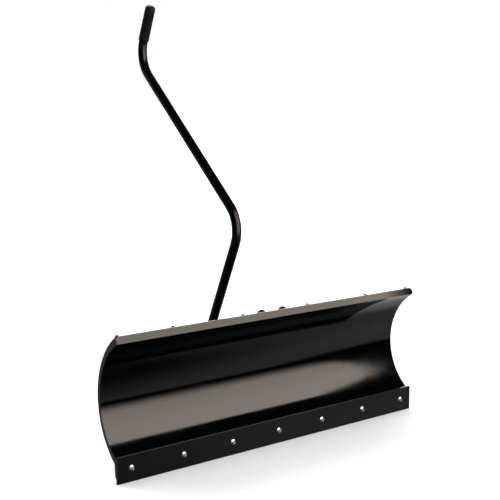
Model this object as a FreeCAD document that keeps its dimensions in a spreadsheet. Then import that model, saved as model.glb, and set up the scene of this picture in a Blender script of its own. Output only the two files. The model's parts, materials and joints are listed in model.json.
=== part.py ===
import FreeCAD, Part
import math
import os
from types import SimpleNamespace

import Sketcher

# Front-mounted snow plow blade with trip springs, five-position angling and a hand lift lever.
# +X runs along the blade, seen from the front. +Y points back towards the machine. +Z is up.
# The origin is the middle of the cutting edge's bottom face, on the ground.

# Driving dimensions in millimetres, kept in the spreadsheet "Dims".
DIMENSIONS = {
    # Moldboard
    "blade_length": 1172,
    "sheet_gauge": 3,
    "curve_radius": 198.8,
    "curve_centre_y": -108.5,
    "curve_centre_z": 233.5,
    "strip_bottom_z": 10,
    "crease_z": 406.5,
    "flange_rise": 21.5,
    "flange_setback": 4.6,
    "flange_corner": 9,
    # Cutting edge and its bolts
    "edge_length": 1178,
    "edge_height": 80,
    "edge_thick": 6,
    "edge_bevel": 1.5,
    "bolt_pitch": 180.8,
    "bolt_z": 40,
    "bolt_shank_radius": 4.75,
    "bolt_head_radius": 10.2,
    "bolt_head_height": 4.8,
    "bolt_square": 9.5,
    # Ribs
    "rib_thick": 5,
    "rib_curve_radius": 230,
    "rib_centre_y": -107.1,
    "rib_centre_z": 228,
    "rib_tip_z": 428,
    "rib_tip_width": 18,
    "rib_toe_z": 12,
    "inner_rib_x": 129.4,
    "outer_rib_x": 384.2,
    "end_rib_x": 572,
    # Trip hinge
    "hinge_y": 54,
    "hinge_z": 90,
    "hinge_pin_radius": 6,
    "hinge_ear_radius": 16,
    "cheek_eye_radius": 13,
    "cheek_x": 120,
    "running_gap": 0.08,
    # Swing head
    "channel_front_y": 72,
    "channel_back_y": 102,
    "channel_bottom_z": 58,
    "channel_top_z": 122,
    "plate_thick": 6,
    "king_y": 197,
    "king_radius": 9.5,
    "tongue_z": 112,
    "ear_z": 62,
    "index_radius": 110,
    "index_step_angle": 12.5,
    "index_hole_radius": 7.3,
    "mast_y": 165,
    "mast_top_z": 209,
    # Lock pin
    "lock_pin_radius": 7,
    "lock_pin_lift": 14,
    "guide_top_z": 160,
    # Trip springs
    "spring_x": 42,
    "lug_y": 29,
    "lug_hole_z": 408,
    "lug_radius": 19,
    "lug_lean": 8,
    "mast_hole_z": 195,
    "spring_radius": 10,
    # Push frame
    "arm_x": 82,
    "arm_thick": 8,
    "arm_bottom_z": 70,
    "arm_top_z": 110,
    "arm_front_y": 165,
    "arm_back_y": 500,
    "hitch_y": 477,
    "hitch_z": 90,
    "hitch_radius": 8,
    # Mount frame
    "mount_plate_x": 93,
    "mount_bolt_radius": 5.5,
    "mount_bolt_y": 485,
    "mount_bolt_z": 167.5,
    "mount_bolt_span_y": 60,
    "mount_bolt_span_z": 35,
    # Lift lever, in a plane beside the left mount plate
    "lever_x": -130,
    "lever_pivot_y": 327,
    "lever_pivot_z": 166,
    "lever_pivot_radius": 6.35,
    "crank_pin_y": 246.2,
    "crank_pin_z": 139.7,
    "link_pin_radius": 6,
    "link_eye_radius": 9,
    "lever_tube_radius": 14.6,
    "lever_wall": 2,
    "lever_bend_radius": 100.3,
    "lever_foot_y": 257.4,
    "lever_foot_z": 183,
    "lever_low_bend_y": 19.3,
    "lever_low_bend_z": 702.2,
    "lever_high_bend_y": 570.3,
    "lever_high_bend_z": 1194.5,
    "lever_top_y": 497.1,
    "lever_top_z": 1362.1,
    "grip_radius": 17.6,
    "grip_length": 118.7,
    # Skid shoes
    "shoe_x": 529,
    "shoe_radius": 35,
    "shoe_front_y": 39,
    "shoe_turn_y": 42,
    "shoe_thick": 5,
    "shoe_post_width": 28,
    "shoe_post_height": 84,
    "shoe_bolt_radius": 4,
    "shoe_travel": 12,
}

os.makedirs("parts", exist_ok=True)
doc = FreeCAD.newDocument("snow_plow_blade")
sheet = doc.addObject("Spreadsheet::Sheet", "Dims")


class Size:
    """A length that knows both its number and the spreadsheet expression behind it."""

    def __init__(self, value, text):
        self.value = value
        self.text = text

    def __add__(self, other):
        other = as_size(other)
        return Size(self.value + other.value, f"({self.text} + {other.text})")

    def __sub__(self, other):
        other = as_size(other)
        return Size(self.value - other.value, f"({self.text} - {other.text})")

    def __mul__(self, other):
        other = as_size(other)
        return Size(self.value * other.value, f"({self.text} * {other.text})")

    def __rsub__(self, other):
        return as_size(other) - self

    def __truediv__(self, other):
        other = as_size(other)
        return Size(self.value / other.value, f"({self.text} / {other.text})")

    def __neg__(self):
        return Size(-self.value, f"(-1 * {self.text})")

    __radd__ = __add__
    __rmul__ = __mul__


def as_size(value):
    """Wraps a plain number, and passes a Size through."""
    return value if isinstance(value, Size) else Size(float(value), f"({float(value)})")


def root(size):
    return Size(math.sqrt(size.value), f"sqrt({size.text})")


for row, (alias, value) in enumerate(DIMENSIONS.items(), start=1):
    sheet.set(f"A{row}", alias)
    sheet.set(f"B{row}", str(value))
    sheet.setAlias(f"B{row}", alias)
doc.recompute()
d = SimpleNamespace(**{name: Size(float(sheet.get(name)), f"Dims.{name}") for name in DIMENSIONS})

LEFT, RIGHT = -1, 1
SIDES = {"left": LEFT, "right": RIGHT}
ALONG = {
    "x": FreeCAD.Rotation(FreeCAD.Vector(0, 1, 0), 90),
    "y": FreeCAD.Rotation(FreeCAD.Vector(1, 0, 0), -90),
    "z": FreeCAD.Rotation(),
}
PLANES = {"yz": "YZ_Plane", "xz": "XZ_Plane", "xy": "XY_Plane"}
parts = []


# ---------------------------------------------------------------- modelling helpers

def bind(obj, prop, size):
    """Sets a property from a Size, bound to the spreadsheet."""
    size = as_size(size)
    obj.setExpression(prop, size.text)


def place(obj, x, y, z):
    for axis, size in zip("xyz", (x, y, z)):
        bind(obj, f"Placement.Base.{axis}", size)


def box(x, y, z, dx, dy, dz):
    """A block from its low corner and its three sizes."""
    block = doc.addObject("Part::Box", "Block")
    for prop, size in (("Length", dx), ("Width", dy), ("Height", dz)):
        bind(block, prop, size)
    place(block, x, y, z)
    return block


def rod(axis, x, y, z, radius, length):
    """A cylinder that starts at a point and runs along +axis."""
    cylinder = doc.addObject("Part::Cylinder", "Rod")
    bind(cylinder, "Radius", radius)
    bind(cylinder, "Height", length)
    cylinder.Placement.Rotation = ALONG[axis]
    place(cylinder, x, y, z)
    return cylinder


def hexagon(axis, x, y, z, across_flats, length):
    """A hexagonal prism that starts at a point and runs along +axis."""
    prism = doc.addObject("Part::Prism", "Hexagon")
    prism.Polygon = 6
    bind(prism, "Circumradius", across_flats / math.sqrt(3))
    bind(prism, "Height", length)
    prism.Placement.Rotation = ALONG[axis]
    place(prism, x, y, z)
    return prism


def fuse(*shapes):
    joined = doc.addObject("Part::MultiFuse", "Joined")
    joined.Shapes = list(shapes)
    joined.Refine = True
    return joined


def cut(base, *tools):
    for tool in tools:
        rest = doc.addObject("Part::Cut", "Cut")
        rest.Base = base
        rest.Tool = tool
        rest.Refine = True
        base = rest
    return base


def group(pieces):
    """Identical loose pieces that share one node."""
    together = doc.addObject("Part::Compound", "Group")
    together.Links = pieces
    return together


def keep(label, obj):
    """Names a finished sub-part."""
    obj.Label = label
    parts.append(obj)
    return obj


def tube(axis, x, y, z, outer, inner, length):
    return cut(rod(axis, x, y, z, outer, length), rod(axis, x, y, z, inner, length))


def fix_distance(sketch, kind, geometry, position, size):
    """Binds a sketch point's distance from the sketch's origin in one direction."""
    size = as_size(size)
    index = sketch.addConstraint(
        Sketcher.Constraint(kind, -1, 1, geometry, position, size.value)
    )
    sketch.setExpression(f"Constraints[{index}]", size.text)


def fix_point(sketch, geometry, position, u, v):
    fix_distance(sketch, "DistanceX", geometry, position, u)
    fix_distance(sketch, "DistanceY", geometry, position, v)


def fix_radius(sketch, geometry, radius):
    radius = as_size(radius)
    index = sketch.addConstraint(Sketcher.Constraint("Radius", geometry, radius.value))
    sketch.setExpression(f"Constraints[{index}]", radius.text)


def new_sketch(body, plane, offset):
    """A sketch on one of the body's own planes, moved along the plane's normal."""
    sketch = body.newObject("Sketcher::SketchObject", "Outline")
    origin_plane = next(f for f in body.Origin.OriginFeatures if f.Role == PLANES[plane])
    sketch.AttachmentSupport = [(origin_plane, "")]
    sketch.MapMode = "FlatFace"
    bind(sketch, "AttachmentOffset.Base.z", offset)
    return sketch


def add_outline(sketch, points, arcs):
    """A closed loop through the points. arcs maps a side's number to (centre u, centre v, turn)."""
    count = len(points)
    first = sketch.GeometryCount
    ends = []
    for side in range(count):
        start = FreeCAD.Vector(*(as_size(c).value for c in points[side]), 0)
        stop = FreeCAD.Vector(*(as_size(c).value for c in points[(side + 1) % count]), 0)
        if side not in arcs:
            sketch.addGeometry(Part.LineSegment(start, stop))
            ends.append((1, 2))
            continue
        centre = FreeCAD.Vector(*(as_size(c).value for c in arcs[side][:2]), 0)
        turn = arcs[side][2]
        begin, finish = (start, stop) if turn > 0 else (stop, start)
        angles = [math.atan2(p.y - centre.y, p.x - centre.x) for p in (begin, finish)]
        circle = Part.Circle(centre, FreeCAD.Vector(0, 0, 1), (begin - centre).Length)
        sketch.addGeometry(Part.ArcOfCircle(circle, *angles))
        ends.append((1, 2) if turn > 0 else (2, 1))
    for side in range(count):
        before = (side - 1) % count
        sketch.addConstraint(Sketcher.Constraint(
            "Coincident", first + before, ends[before][1], first + side, ends[side][0]))
        fix_point(sketch, first + side, ends[side][0], *points[side])
    for side, (centre_u, centre_v, _) in arcs.items():
        chord = sketch.Geometry[first + side].EndPoint - sketch.Geometry[first + side].StartPoint
        if abs(chord.y) > abs(chord.x):
            fix_distance(sketch, "DistanceX", first + side, 3, centre_u)
        else:
            fix_distance(sketch, "DistanceY", first + side, 3, centre_v)


def add_holes(sketch, holes):
    for u, v, radius in holes:
        centre = FreeCAD.Vector(as_size(u).value, as_size(v).value, 0)
        geometry = sketch.addGeometry(
            Part.Circle(centre, FreeCAD.Vector(0, 0, 1), as_size(radius).value)
        )
        fix_point(sketch, geometry, 3, u, v)
        fix_radius(sketch, geometry, radius)


def slot_loop(u, low_v, high_v, half_width):
    """Points and arcs of an upright slot between two end centres."""
    points = [
        (u - half_width, high_v), (u - half_width, low_v),
        (u + half_width, low_v), (u + half_width, high_v),
    ]
    return points, {1: (u, low_v, 1), 3: (u, high_v, 1)}


def plate(plane, offset, thickness, points, arcs=None, holes=(), loops=(), corner=None):
    """A flat plate: its outline in a plane, padded along the plane's normal."""
    body = doc.addObject("PartDesign::Body", "Plate")
    sketch = new_sketch(body, plane, offset)
    add_outline(sketch, points, arcs or {})
    add_holes(sketch, holes)
    for loop_points, loop_arcs in loops:
        add_outline(sketch, loop_points, loop_arcs)
    pad = body.newObject("PartDesign::Pad", "Pad")
    pad.Profile = sketch
    bind(pad, "Length", thickness)
    if corner is None:
        return body
    doc.recompute()
    normal = pad.Shape.Faces[-1].normalAt(0, 0)
    rounded = [
        f"Edge{number}" for number, edge in enumerate(pad.Shape.Edges, start=1)
        if isinstance(edge.Curve, Part.Line) and abs(edge.tangentAt(0).dot(normal)) > 0.99
    ]
    fillet = body.newObject("PartDesign::Fillet", "Corners")
    fillet.Base = (pad, rounded)
    bind(fillet, "Radius", corner)
    return body


# ---------------------------------------------------------------- blade

half_edge = d.edge_thick / 2
outer_radius = d.curve_radius + d.sheet_gauge


def on_circle_y(radius, z):
    """Y of the moldboard's circle of that radius at a height."""
    rise = z - d.curve_centre_z
    return d.curve_centre_y + root(radius * radius - rise * rise)


def under_circle_z(radius, y):
    """Height of the lower half of that circle at a Y."""
    reach = y - d.curve_centre_y
    return d.curve_centre_z - root(radius * radius - reach * reach)


strip_back = half_edge + d.sheet_gauge
crease_front = (on_circle_y(d.curve_radius, d.crease_z), d.crease_z)
crease_back_z = d.crease_z + 1
crease_back = (on_circle_y(outer_radius, crease_back_z), crease_back_z)
flange_front = (crease_front[0] + d.flange_setback, d.crease_z + d.flange_rise)
flange_back = (flange_front[0] + d.sheet_gauge, flange_front[1])
curve_foot_front = (half_edge, under_circle_z(d.curve_radius, half_edge))
curve_foot_back = (strip_back, under_circle_z(outer_radius, strip_back))
CURVE_CENTRE = (d.curve_centre_y, d.curve_centre_z)
RIB_CENTRE = (d.rib_centre_y, d.rib_centre_z)
BOLT_NUMBERS = range(-3, 4)

moldboard_points = [
    (half_edge, d.strip_bottom_z), curve_foot_front, crease_front, flange_front,
    flange_back, crease_back, curve_foot_back, (strip_back, d.strip_bottom_z),
]
moldboard_arcs = {1: (*CURVE_CENTRE, 1), 5: (*CURVE_CENTRE, -1)}
sheet_body = plate("yz", -d.blade_length / 2, d.blade_length, moldboard_points, moldboard_arcs)
bolt_bores = [
    rod("y", d.bolt_pitch * number, half_edge - 2, d.bolt_z, d.bolt_shank_radius + 0.4, 10)
    for number in BOLT_NUMBERS
]


def corner_waste(side):
    """What the mitre takes off an upper corner of the flange."""
    x = d.blade_length / 2 * side
    inner_x = x - d.flange_corner * side
    outer_x = x + 2 * side
    top_z = flange_front[1]
    waste_points = [
        (x, top_z - d.flange_corner), (outer_x, top_z - d.flange_corner), (outer_x, top_z + 2),
        (inner_x, top_z + 2), (inner_x, top_z),
    ]
    return plate("xz", -5, 30, waste_points)


mitres = [corner_waste(side) for side in SIDES.values()]
keep("moldboard", cut(sheet_body, fuse(*bolt_bores), *mitres))

edge_block = box(-d.edge_length / 2, -half_edge, 0, d.edge_length, d.edge_thick, d.edge_height)
doc.recompute()
edge_top = [
    (number, DIMENSIONS["edge_bevel"], DIMENSIONS["edge_bevel"])
    for number, edge in enumerate(edge_block.Shape.Edges, start=1)
    if edge.Length > 1000 and edge.CenterOfMass.z > 1 and edge.CenterOfMass.y < 0
]
edge_bar = doc.addObject("Part::Fillet", "Rounded")
edge_bar.Base = edge_block
edge_bar.Edges = edge_top
square_side = d.bolt_square + 0.2
square_holes = [
    box(d.bolt_pitch * number - square_side / 2, -half_edge - 2, d.bolt_z - square_side / 2,
        square_side, d.edge_thick + 4, square_side)
    for number in BOLT_NUMBERS
]
keep("scraper_bar", cut(edge_bar, fuse(*square_holes)))


def carriage_bolt(number):
    """Domed head in front, square neck in the bar, threaded shank behind."""
    x = d.bolt_pitch * number
    dome = doc.addObject("Part::Ellipsoid", "Dome")
    bind(dome, "Radius1", d.bolt_head_height)
    bind(dome, "Radius2", d.bolt_head_radius)
    bind(dome, "Radius3", d.bolt_head_radius)
    dome.Angle1 = 0
    dome.Angle2 = 90
    dome.Placement.Rotation = FreeCAD.Rotation(FreeCAD.Vector(1, 0, 0), 90)
    place(dome, x, -half_edge, d.bolt_z)
    neck = box(x - d.bolt_square / 2, -half_edge, d.bolt_z - d.bolt_square / 2,
               d.bolt_square, d.edge_thick - 0.5, d.bolt_square)
    shank = rod("y", x, -half_edge, d.bolt_z, d.bolt_shank_radius, 25)
    return fuse(dome, neck, shank)


def flange_nut(axis, x, y, z, bore, across_flats, height, toward):
    """A hexagonal nut with a washer face. toward is the side of its seat along the axis."""
    flange = rod(axis, x, y, z, across_flats * 0.66, 2)
    hexagon_y = y + 2 if toward < 0 else y
    nut = hexagon(axis, x, hexagon_y, z, across_flats, height - 2)
    return cut(fuse(flange, nut), rod(axis, x, y - 1, z, bore, height + 2))


keep("scraper_bolts", group([carriage_bolt(number) for number in BOLT_NUMBERS]))
keep("scraper_nuts", group([
    flange_nut("y", d.bolt_pitch * number, strip_back, d.bolt_z, d.bolt_shank_radius, 14.3, 9, -1)
    for number in BOLT_NUMBERS
]))


def rib_edge(z):
    """The point of a rib's curved back edge at a height."""
    rise = z - d.rib_centre_z
    return d.rib_centre_y + root(d.rib_curve_radius * d.rib_curve_radius - rise * rise), z


def rib(centre_x):
    """A back rib whose front edge lies on the moldboard's back."""
    heel = rib_edge(d.rib_toe_z + 36)
    points = [
        (strip_back, d.rib_toe_z), (heel[0] - 2, d.rib_toe_z), heel, rib_edge(d.rib_tip_z - 10),
        (flange_back[0] + d.rib_tip_width, d.rib_tip_z),
        (flange_back[0] + d.rib_tip_width - 5, d.rib_tip_z),
        (flange_back[0], d.rib_tip_z - 8), crease_back, curve_foot_back,
    ]
    arcs = {2: (*RIB_CENTRE, 1), 7: (*CURVE_CENTRE, -1)}
    return plate("yz", centre_x - d.rib_thick / 2, d.rib_thick, points, arcs)


for name, side in SIDES.items():
    keep(f"{name}_end_rib", rib(d.end_rib_x * side))
    keep(f"{name}_outer_rib", rib(d.outer_rib_x * side))
    rib_face = d.inner_rib_x * side - d.rib_thick / 2
    ear = rod("x", rib_face, d.hinge_y, d.hinge_z, d.hinge_ear_radius, d.rib_thick)
    bore_radius = d.hinge_pin_radius + d.running_gap
    bore = rod("x", rib_face - 1, d.hinge_y, d.hinge_z, bore_radius, d.rib_thick + 2)
    sheet_space = rod("x", rib_face - 1, *CURVE_CENTRE, outer_radius, d.rib_thick + 2)
    keep(f"{name}_inner_rib", cut(fuse(rib(d.inner_rib_x * side), cut(ear, sheet_space)), bore))


def spring_lug(side):
    """A round-topped lug behind the flange that leans with it and holds a trip spring's hook."""
    x = d.spring_x * side
    foot_z = d.lug_hole_z - 28
    points = [
        (x - d.lug_radius, foot_z), (x + d.lug_radius, foot_z),
        (x + d.lug_radius, d.lug_hole_z), (x - d.lug_radius, d.lug_hole_z),
    ]
    arcs = {2: (x, d.lug_hole_z, 1)}
    face = plate("xz", -d.lug_y - 5, 5, points, arcs, [(x, d.lug_hole_z, 5)])
    hinge_line = FreeCAD.Vector(0, d.lug_y.value, d.lug_hole_z.value)
    backward = FreeCAD.Rotation(FreeCAD.Vector(1, 0, 0), -d.lug_lean.value)
    face.Placement = FreeCAD.Placement(FreeCAD.Vector(), backward, hinge_line)
    return cut(face, rod("x", x - 25, *CURVE_CENTRE, outer_radius, 50))


for name, side in SIDES.items():
    keep(f"{name}_spring_lug", spring_lug(side))


# ---------------------------------------------------------------- skid shoes

SHOE_BOLT_HEIGHTS = (34, 58)
bracket_plate_y = d.shoe_front_y - 6
shoe_post_front = d.shoe_front_y + 0.3
shoe_post_back = shoe_post_front + d.shoe_thick
shoe_bolts = []
shoe_nuts = []

for name, side in SIDES.items():
    x = d.shoe_x * side
    post_low_x = x - d.shoe_post_width / 2
    post_high_x = x + d.shoe_post_width / 2
    bracket_points = [
        (strip_back, 68), (bracket_plate_y, 68), (bracket_plate_y, 20),
        (d.shoe_front_y, 20), (d.shoe_front_y, 73), (strip_back, 73),
    ]
    bracket = plate("yz", post_low_x, d.shoe_post_width, bracket_points)
    bores = [
        rod("y", x, bracket_plate_y - 1, height, d.shoe_bolt_radius + 0.3, 8)
        for height in SHOE_BOLT_HEIGHTS
    ]
    sheet_space = rod("x", post_low_x - 1, *CURVE_CENTRE, outer_radius, d.shoe_post_width + 2)
    keep(f"{name}_shoe_bracket", cut(bracket, *bores, sheet_space))

    sole_points = [
        (x - d.shoe_radius, shoe_post_front), (x + d.shoe_radius, shoe_post_front),
        (x + d.shoe_radius, d.shoe_turn_y), (x - d.shoe_radius, d.shoe_turn_y),
    ]
    sole = plate("xy", 0, d.shoe_thick, sole_points, {2: (x, d.shoe_turn_y, 1)})
    slot_half = d.shoe_bolt_radius + 0.5
    slot = slot_loop(x, SHOE_BOLT_HEIGHTS[0] - d.shoe_travel,
                     SHOE_BOLT_HEIGHTS[1] + d.shoe_travel, slot_half)
    post_points = [
        (post_low_x, 1), (post_high_x, 1), (post_high_x, d.shoe_post_height),
        (post_low_x, d.shoe_post_height),
    ]
    post = plate("xz", -shoe_post_back, d.shoe_thick, post_points, loops=[slot])
    keep(f"{name}_skid_shoe", fuse(sole, post))

    for height in SHOE_BOLT_HEIGHTS:
        shank = rod("y", x, bracket_plate_y - 10, height, d.shoe_bolt_radius, 23)
        washer = rod("y", x, shoe_post_back + 0.3, height, 9, 2)
        head = hexagon("y", x, shoe_post_back + 2.2, height, 13, 5)
        shoe_bolts.append(fuse(shank, washer, head))
        nut = hexagon("y", x, bracket_plate_y - 7, height, 13, 7)
        bore = rod("y", x, bracket_plate_y - 8, height, d.shoe_bolt_radius, 9)
        shoe_nuts.append(cut(nut, bore))
keep("shoe_bolts", group(shoe_bolts))
keep("shoe_nuts", group(shoe_nuts))


# ---------------------------------------------------------------- swing head

channel_wall = 5
channel_points = [
    (d.channel_front_y, d.channel_bottom_z), (d.channel_back_y, d.channel_bottom_z),
    (d.channel_back_y, d.channel_top_z), (d.channel_front_y, d.channel_top_z),
    (d.channel_front_y, d.channel_top_z - channel_wall),
    (d.channel_back_y - channel_wall, d.channel_top_z - channel_wall),
    (d.channel_back_y - channel_wall, d.channel_bottom_z + channel_wall),
    (d.channel_front_y, d.channel_bottom_z + channel_wall),
]
keep("pivot_channel", plate("yz", -d.cheek_x, d.cheek_x * 2, channel_points))

cheek_points = [
    (d.hinge_y, d.hinge_z - d.cheek_eye_radius), (d.channel_front_y, d.channel_bottom_z),
    (d.channel_back_y, d.channel_bottom_z), (d.channel_back_y, d.channel_top_z),
    (d.channel_front_y, d.channel_top_z), (d.hinge_y, d.hinge_z + d.cheek_eye_radius),
]
cheek_arcs = {5: (d.hinge_y, d.hinge_z, 1)}
cheek_hole = [(d.hinge_y, d.hinge_z, d.hinge_pin_radius)]
cheek_face = {LEFT: -d.cheek_x - d.plate_thick, RIGHT: d.cheek_x}
for name, side in SIDES.items():
    keep(f"{name}_hinge_cheek",
         plate("yz", cheek_face[side], d.plate_thick, cheek_points, cheek_arcs, cheek_hole))


def hinge_pin(side):
    """Headed from inside the cheek, through the cheek and the rib."""
    length = 22
    inner_x = d.cheek_x * side
    start = inner_x if side == RIGHT else inner_x - length
    head_x = inner_x - 5 if side == RIGHT else inner_x
    shank = rod("x", start, d.hinge_y, d.hinge_z, d.hinge_pin_radius, length)
    head = rod("x", head_x, d.hinge_y, d.hinge_z, d.hinge_pin_radius + 3, 5)
    return fuse(shank, head)


def ring(axis, x, y, z, outer, inner, thickness):
    return tube(axis, x, y, z, outer, inner, thickness)


keep("hinge_pins", group([hinge_pin(side) for side in SIDES.values()]))
clip_x = d.inner_rib_x + d.rib_thick / 2 + 0.5
keep("hinge_pin_clips", group([
    ring("x", clip_x if side == RIGHT else -clip_x - 3, d.hinge_y, d.hinge_z,
         d.hinge_pin_radius + 5, d.hinge_pin_radius, 3)
    for side in SIDES.values()
]))

king_hole = [(0, d.king_y, d.king_radius)]
lock_y = d.king_y + d.index_radius
tongue_points = [
    (-50, d.channel_back_y), (50, d.channel_back_y), (45, d.king_y), (20, lock_y + 20),
    (-20, lock_y + 20), (-45, d.king_y),
]
lock_bore = (0, lock_y, d.lock_pin_radius + d.running_gap)
keep("tongue_plate", plate("xy", d.tongue_z, d.plate_thick, tongue_points,
                           holes=king_hole + [lock_bore]))
ear_points = [
    (-50, d.channel_back_y), (50, d.channel_back_y), (40, d.king_y + 8), (20, d.king_y + 28),
    (-20, d.king_y + 28), (-40, d.king_y + 8),
]
keep("lower_ear_plate", plate("xy", d.ear_z, d.plate_thick, ear_points, holes=king_hole))

mast_foot_z = d.tongue_z + d.plate_thick
mast_points = [
    (-44, mast_foot_z), (44, mast_foot_z), (58, d.mast_hole_z - 10), (58, d.mast_top_z - 6),
    (52, d.mast_top_z), (28, d.mast_top_z), (18, d.mast_hole_z - 20), (-18, d.mast_hole_z - 20),
    (-28, d.mast_top_z), (-52, d.mast_top_z), (-58, d.mast_top_z - 6), (-58, d.mast_hole_z - 10),
]
mast_holes = [(d.spring_x * side, d.mast_hole_z, 4.5) for side in SIDES.values()]
keep("spring_mast", plate("xz", -d.mast_y - d.plate_thick, d.plate_thick, mast_points,
                          holes=mast_holes))

kingpin_head = rod("z", 0, d.king_y, d.tongue_z + 8, d.king_radius + 7, 10)
kingpin_shank = rod("z", 0, d.king_y, d.ear_z - 18, d.king_radius - 0.06,
                    d.tongue_z - d.ear_z + 27)
keep("kingpin", fuse(kingpin_head, kingpin_shank))
keep("kingpin_nut", cut(hexagon("z", 0, d.king_y, d.ear_z - 16, 28, 14),
                        rod("z", 0, d.king_y, d.ear_z - 17, d.king_radius - 0.06, 16)))
washer_heights = (d.tongue_z + d.plate_thick, d.tongue_z - 2, d.ear_z + d.plate_thick, d.ear_z - 2)
keep("kingpin_washers", group([
    ring("z", 0, d.king_y, height, d.king_radius + 9, d.king_radius, 2)
    for height in washer_heights
]))

guide_foot_z = d.tongue_z + d.plate_thick
guide_cap = 5
guide_outer = rod("z", 0, lock_y, guide_foot_z, 14, d.guide_top_z - guide_foot_z)
guide_room = rod("z", 0, lock_y, guide_foot_z, 11.5, d.guide_top_z - guide_foot_z - guide_cap)
guide_bore = rod("z", 0, lock_y, guide_foot_z, d.lock_pin_radius + d.running_gap, 60)
keep("lock_pin_guide", cut(guide_outer, guide_room, guide_bore))

pin_tip_z = d.tongue_z + 1
collar_z = guide_foot_z + 3 + d.lock_pin_lift
pin_shaft = rod("z", 0, lock_y, pin_tip_z, d.lock_pin_radius, 82)
pin_collar = rod("z", 0, lock_y, collar_z, 11, 3)
handle_z = pin_tip_z + 74
handle_space = rod("x", -20, lock_y, handle_z, 4, 40)
keep("lock_pin", cut(fuse(pin_shaft, pin_collar), handle_space))
keep("lock_pin_handle", rod("x", -32, lock_y, handle_z, 4, 64))
spring_foot_z = collar_z + 3
keep("lock_pin_spring", tube("z", 0, lock_y, spring_foot_z, 11, 8.5,
                             d.guide_top_z - guide_cap - spring_foot_z))

lug_mid_y = d.lug_y + 2.5
spring_run_y = d.mast_y - lug_mid_y
spring_run_z = d.mast_hole_z - d.lug_hole_z
spring_lean = math.degrees(math.atan2(spring_run_y.value, spring_run_z.value))
spring_run = root(spring_run_y * spring_run_y + spring_run_z * spring_run_z)
SPRING_SHANK = 108
SPRING_HOOK = 22


def on_spring_line(shape, side, distance):
    """Lays a cylinder along a trip spring's line, at a distance from the lug's hole."""
    shape.Placement.Rotation = FreeCAD.Rotation(FreeCAD.Vector(1, 0, 0), -spring_lean)
    place(shape, d.spring_x * side, lug_mid_y + spring_run_y * distance / spring_run,
          d.lug_hole_z + spring_run_z * distance / spring_run)


for name, side in SIDES.items():
    coil = doc.addObject("Part::Cylinder", "Coil")
    bind(coil, "Radius", d.spring_radius)
    bind(coil, "Height", spring_run - SPRING_SHANK - SPRING_HOOK)
    on_spring_line(coil, side, SPRING_SHANK)
    shank = doc.addObject("Part::Cylinder", "Shank")
    shank.Radius = 2
    shank.Height = SPRING_SHANK - 8
    on_spring_line(shank, side, 8)
    keep(f"{name}_trip_spring", fuse(coil, shank))


# ---------------------------------------------------------------- push frame

arm_height = d.arm_top_z - d.arm_bottom_z
arm_outer = d.arm_x + d.arm_thick
arm_points = [
    (d.arm_front_y, d.arm_bottom_z), (d.arm_back_y, d.arm_bottom_z),
    (d.arm_back_y, d.arm_top_z), (d.arm_front_y, d.arm_top_z),
]
arm_hole = [(d.hitch_y, d.hitch_z, d.hitch_radius + d.running_gap)]
arm_face = {LEFT: -arm_outer, RIGHT: d.arm_x}
for name, side in SIDES.items():
    keep(f"{name}_push_arm", plate("yz", arm_face[side], d.arm_thick, arm_points,
                                   holes=arm_hole, corner=6))

index_holes = []
for step in range(-2, 3):
    turn = math.radians(DIMENSIONS["index_step_angle"] * step)
    hole_x = d.index_radius * math.sin(turn)
    hole_y = d.king_y + d.index_radius * math.cos(turn)
    index_holes.append((hole_x, hole_y, d.index_hole_radius))
index_plate_z = d.arm_top_z - d.plate_thick
index_points = [
    (-d.arm_x, d.arm_front_y), (d.arm_x, d.arm_front_y), (d.arm_x, lock_y + 23),
    (-d.arm_x, lock_y + 23),
]
keep("index_plate", plate("xy", index_plate_z, d.plate_thick, index_points,
                          holes=king_hole + index_holes))
nose_points = [
    (-d.arm_x, d.arm_front_y), (d.arm_x, d.arm_front_y), (d.arm_x, d.king_y + 50),
    (-d.arm_x, d.king_y + 50),
]
keep("nose_plate", plate("xy", d.arm_bottom_z, d.plate_thick, nose_points, holes=king_hole))
nose_tube_z = d.arm_bottom_z + d.plate_thick
keep("kingpin_tube", tube("z", 0, d.king_y, nose_tube_z, 19, d.king_radius,
                          index_plate_z - nose_tube_z))
cross_tube = box(-d.arm_x, 400, 78, d.arm_x * 2, 25, 25)
cross_bore = box(-d.arm_x, 402, 80, d.arm_x * 2, 21, 21)
keep("push_cross_tube", cut(cross_tube, cross_bore))

link_near_x = d.lever_x + 6
stud_y = d.crank_pin_y
stud_z = d.hitch_z
stud_end_x = link_near_x - 4.5
stud = rod("x", stud_end_x, stud_y, stud_z, d.link_pin_radius, -arm_outer - stud_end_x)
stud_collar = rod("x", link_near_x + 6, stud_y, stud_z, d.link_pin_radius + 6, 3)
keep("lift_stud", fuse(stud, stud_collar))
keep("lift_stud_clip", ring("x", link_near_x - 3.5, stud_y, stud_z, d.link_pin_radius + 6,
                            d.link_pin_radius, 2.5))


# ---------------------------------------------------------------- mount frame

riser_top_z = d.lever_pivot_z + 22
mount_points = [
    (262, 0), (560, 0), (560, 45), (542, 205), (428, 205), (424, 60), (368, 60),
    (352, riser_top_z), (302, riser_top_z), (288, 60), (262, 45),
]
mount_bolts = [
    (d.mount_bolt_y + d.mount_bolt_span_y / 2 * along, d.mount_bolt_z + d.mount_bolt_span_z / 2 * up,
     d.mount_bolt_radius)
    for along in (-1, 1) for up in (-1, 1)
]
mount_holes = mount_bolts + [
    (d.hitch_y, d.hitch_z, d.hitch_radius),
    (d.lever_pivot_y, d.lever_pivot_z, d.lever_pivot_radius),
]
mount_outer = d.mount_plate_x + d.plate_thick
mount_face = {LEFT: -mount_outer, RIGHT: d.mount_plate_x}
for name, side in SIDES.items():
    keep(f"{name}_mount_plate", plate("yz", mount_face[side], d.plate_thick, mount_points,
                                      holes=mount_holes, corner=5))
front_bar = box(-d.mount_plate_x, 270, 6, d.mount_plate_x * 2, 25, 25)
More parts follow.
